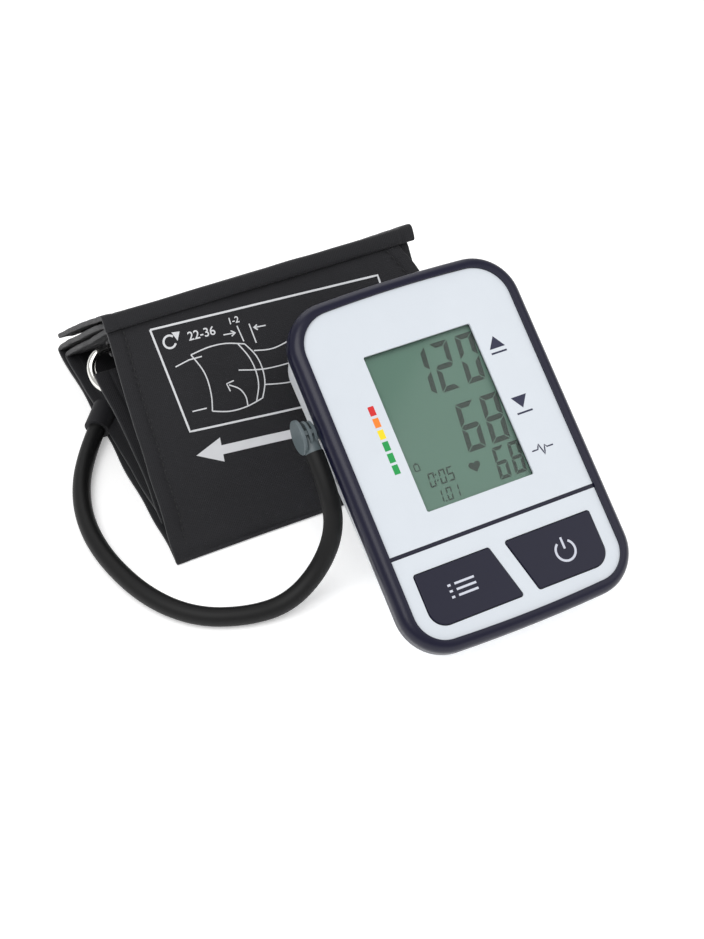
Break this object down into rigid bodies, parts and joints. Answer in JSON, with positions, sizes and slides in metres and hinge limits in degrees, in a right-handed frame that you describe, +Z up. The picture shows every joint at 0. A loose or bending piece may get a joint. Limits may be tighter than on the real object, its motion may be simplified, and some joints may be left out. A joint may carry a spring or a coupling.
{
  "type": "upper arm blood pressure monitor",
  "caption": "Wedge-shaped electronic blood pressure monitor with large display and two keys, leaning on its rolled arm cuff, joined by an air tube with an elbow plug.",
  "frame": {"origin": "on the table plane, below the centre of the bounding box of everything but the air tube and its plug", "axes": "+Z up from the table, +X to the right across the display as the user reads it, +Y from the keys towards the cuff behind the monitor"},
  "size_m": [0.2015, 0.2613, 0.0971],
  "materials": {
    "white_plastic": "satin",
    "white_case": "fine texture",
    "navy_plastic": "gloss",
    "clear_window": "clear",
    "lcd_glass": "liquid crystal glass",
    "grey_plastic": "satin",
    "white_inner": "matte",
    "board_green": "solder mask",
    "chip_black": "matte",
    "steel": "plated",
    "rubber_black": "matte",
    "rubber_grey": "matte",
    "cell_green": "printed sleeve",
    "tube_black": "matte",
    "nylon_black": "fine woven nylon",
    "pile_black": "looped pile",
    "bladder_film": "thermoplastic film",
    "ring_chrome": "polished",
    "foam_grey": "foam"
  },
  "bodies": {
    "monitor": {"lower_case": "white_case", "front_cover": "navy_plastic", "upper_face_plate": "white_plastic", "lower_face_plate": "white_plastic", "display_lens": "clear_window", "display_module": "lcd_glass", "display_holder": "white_inner", "main_board": "board_green", "board_parts": "chip_black", "buzzer": "chip_black", "mem_switch": "steel", "start_switch": "steel", "battery_contacts": "steel", "battery_springs": "steel", "rubber_feet": "rubber_grey", "case_screws": "steel", "board_screws": "steel", "air_socket": "white_inner", "power_jack": "chip_black", "air_pump": "chip_black", "pump_motor": "steel", "pump_cradle": "foam_grey", "air_manifold": "white_inner", "deflation_valve": "chip_black", "pressure_sensor": "chip_black", "pump_hose": "rubber_grey", "battery_1": "cell_green", "battery_2": "cell_green", "battery_3": "cell_green", "battery_4": "cell_green"},
    "mem_key": {"mem_button": "navy_plastic"},
    "start_key": {"start_stop_button": "navy_plastic"},
    "battery_lid": {"battery_cover": "white_case"},
    "cuff_set": {"air_plug": "grey_plastic", "plug_seal": "rubber_black", "air_tube": "tube_black", "cuff_shell": "nylon_black", "air_bladder": "bladder_film", "cuff_lining": "nylon_black", "cuff_flap": "nylon_black", "loop_patch": "pile_black", "hook_patch": "pile_black", "metal_ring": "ring_chrome", "ring_strap": "nylon_black", "tube_port": "rubber_black"}
  },
  "joints": [
    {"name": "mem_press", "type": "slide", "parent": "monitor", "child": "mem_key", "axis": [0, 0.5373, -0.8434], "range_m": [0, 0.0008], "stiffness_N_per_m": 1500},
    {"name": "start_press", "type": "slide", "parent": "monitor", "child": "start_key", "axis": [0, 0.5373, -0.8434], "range_m": [0, 0.0008], "stiffness_N_per_m": 1500},
    {"name": "cover_slide", "type": "slide", "parent": "monitor", "child": "battery_lid", "axis": [0, -0.91, -0.4147], "range_m": [0, 0.006]},
    {"name": "plug_pull", "type": "slide", "parent": "monitor", "child": "cuff_set", "axis": [-1, 0, 0], "range_m": [0, 0.012]}
  ]
}
